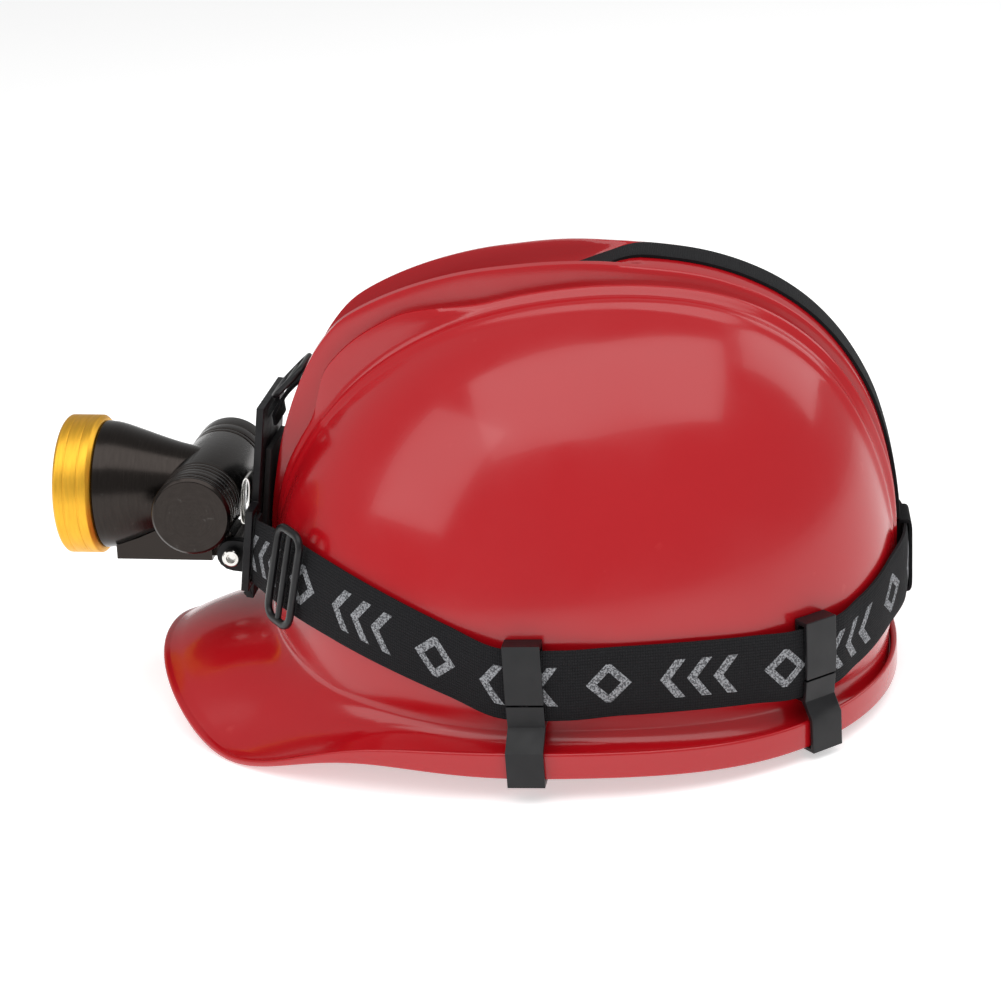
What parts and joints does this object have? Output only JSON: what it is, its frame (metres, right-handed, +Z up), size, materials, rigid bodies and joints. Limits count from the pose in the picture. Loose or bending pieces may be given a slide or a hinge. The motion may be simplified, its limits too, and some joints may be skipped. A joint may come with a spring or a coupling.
{
  "type": "miner's cap lamp on a safety helmet",
  "caption": "Focusing LED cap lamp with a transverse battery tube, strapped to a ridged safety helmet by elastic webbing and rim hooks; the lamp tilts down on its bracket.",
  "frame": {"origin": "middle of the bottom of the bounding box, at the level of the peak's lower corners", "axes": "+X towards the rear of the helmet, -X along the beam and the peak, -Y the wearer's left, +Z up"},
  "size_m": [0.332, 0.2326, 0.1724],
  "materials": {
    "helmet_red": "glossy moulded",
    "webbing_black": "woven elastic",
    "webbing_crown": "woven webbing",
    "hook_plastic": "satin moulded",
    "bracket_plastic": "fine texture",
    "pad_rubber": "matte",
    "steel": "polished",
    "black_anodised": "black anodised",
    "gold_anodised": "gold anodised",
    "lens_glass": "clear polished",
    "inner_black": "matte",
    "heat_sink_metal": "machined",
    "board_white": "solder mask",
    "board_green": "solder mask",
    "emitter": "phosphor",
    "cell_sleeve": "shrink sleeve",
    "suspension_grey": "satin moulded",
    "brow_foam": "brushed fabric on foam",
    "knob_black": "satin moulded"
  },
  "bodies": {
    "helmet": {"helmet_shell": "helmet_red", "headband_strap": "webbing_black", "top_strap": "webbing_black", "rear_strap_loop": "webbing_black", "crown_strap_1": "webbing_crown", "crown_strap_2": "webbing_crown", "crown_strap_3": "webbing_crown", "hook_front_left": "hook_plastic", "hook_rear_left": "hook_plastic", "hook_front_right": "hook_plastic", "hook_rear_right": "hook_plastic", "buckle_left": "hook_plastic", "buckle_right": "hook_plastic", "top_strap_buckle": "hook_plastic", "bracket_plate": "bracket_plastic", "bracket_pad": "pad_rubber", "detent_spring": "steel", "tilt_bolt": "steel", "tilt_nut": "steel", "suspension_headband": "suspension_grey", "nape_housing": "suspension_grey", "suspension_key_front_left": "suspension_grey", "suspension_key_front_right": "suspension_grey", "suspension_key_middle_left": "suspension_grey", "suspension_key_middle_right": "suspension_grey", "suspension_key_rear_left": "suspension_grey", "suspension_key_rear_right": "suspension_grey", "brow_pad": "brow_foam"},
    "lamp": {"lamp_housing": "black_anodised", "lamp_cradle": "black_anodised", "cradle_screw_1": "steel", "cradle_screw_2": "steel", "light_shroud": "inner_black", "heat_sink": "heat_sink_metal", "led_board": "board_white", "led_emitter": "emitter", "driver_board": "board_green", "battery_cell": "cell_sleeve", "switch_cap": "black_anodised", "contact_plate": "board_green", "switch_body": "inner_black"},
    "bezel_ring": {"bezel": "gold_anodised"},
    "lens_carriage": {"lens": "lens_glass", "lens_carrier": "inner_black"},
    "cap_contact": {"battery_spring": "steel"},
    "battery_cap": {"battery_cap": "black_anodised"},
    "switch": {"switch_button": "pad_rubber"},
    "ratchet": {"ratchet_knob": "knob_black"}
  },
  "joints": [
    {"name": "lamp_tilt", "type": "hinge", "parent": "helmet", "child": "lamp", "pos_m": [-0.10022, 0, 0.05783], "axis": [0, -1, 0], "range_deg": [0, 35]},
    {"name": "bezel_turn", "type": "hinge", "parent": "lamp", "child": "bezel_ring", "pos_m": [-0.15843, 0, 0.08592], "axis": [-0.9986, 0, 0.0523], "range_deg": [0, 120]},
    {"name": "lens_focus", "type": "slide", "parent": "lamp", "child": "lens_carriage", "axis": [0.9986, 0, -0.0523], "range_m": [0, 0.0028]},
    {"name": "cap_travel", "type": "slide", "parent": "lamp", "child": "cap_contact", "axis": [0, -1, 0], "range_m": [0, 0.006]},
    {"name": "cap_turn", "type": "hinge", "parent": "cap_contact", "child": "battery_cap", "pos_m": [-0.1085, -0.0325, 0.0833], "axis": [0, -1, 0], "range_deg": [0, 1440]},
    {"name": "switch_press", "type": "slide", "parent": "lamp", "child": "switch", "axis": [0, -1, 0], "range_m": [0, 0.0012], "stiffness_N_per_m": 400, "springref_m": -0.001},
    {"name": "ratchet_turn", "type": "hinge", "parent": "helmet", "child": "ratchet", "pos_m": [0.1459, 0, 0.0296], "axis": [1, 0, 0], "continuous": true}
  ],
  "couplings": [
    {"joint": "lens_focus", "follows": "bezel_turn", "m_per_rad": 0.0013368},
    {"joint": "cap_travel", "follows": "cap_turn", "m_per_rad": 0.00023871}
  ]
}
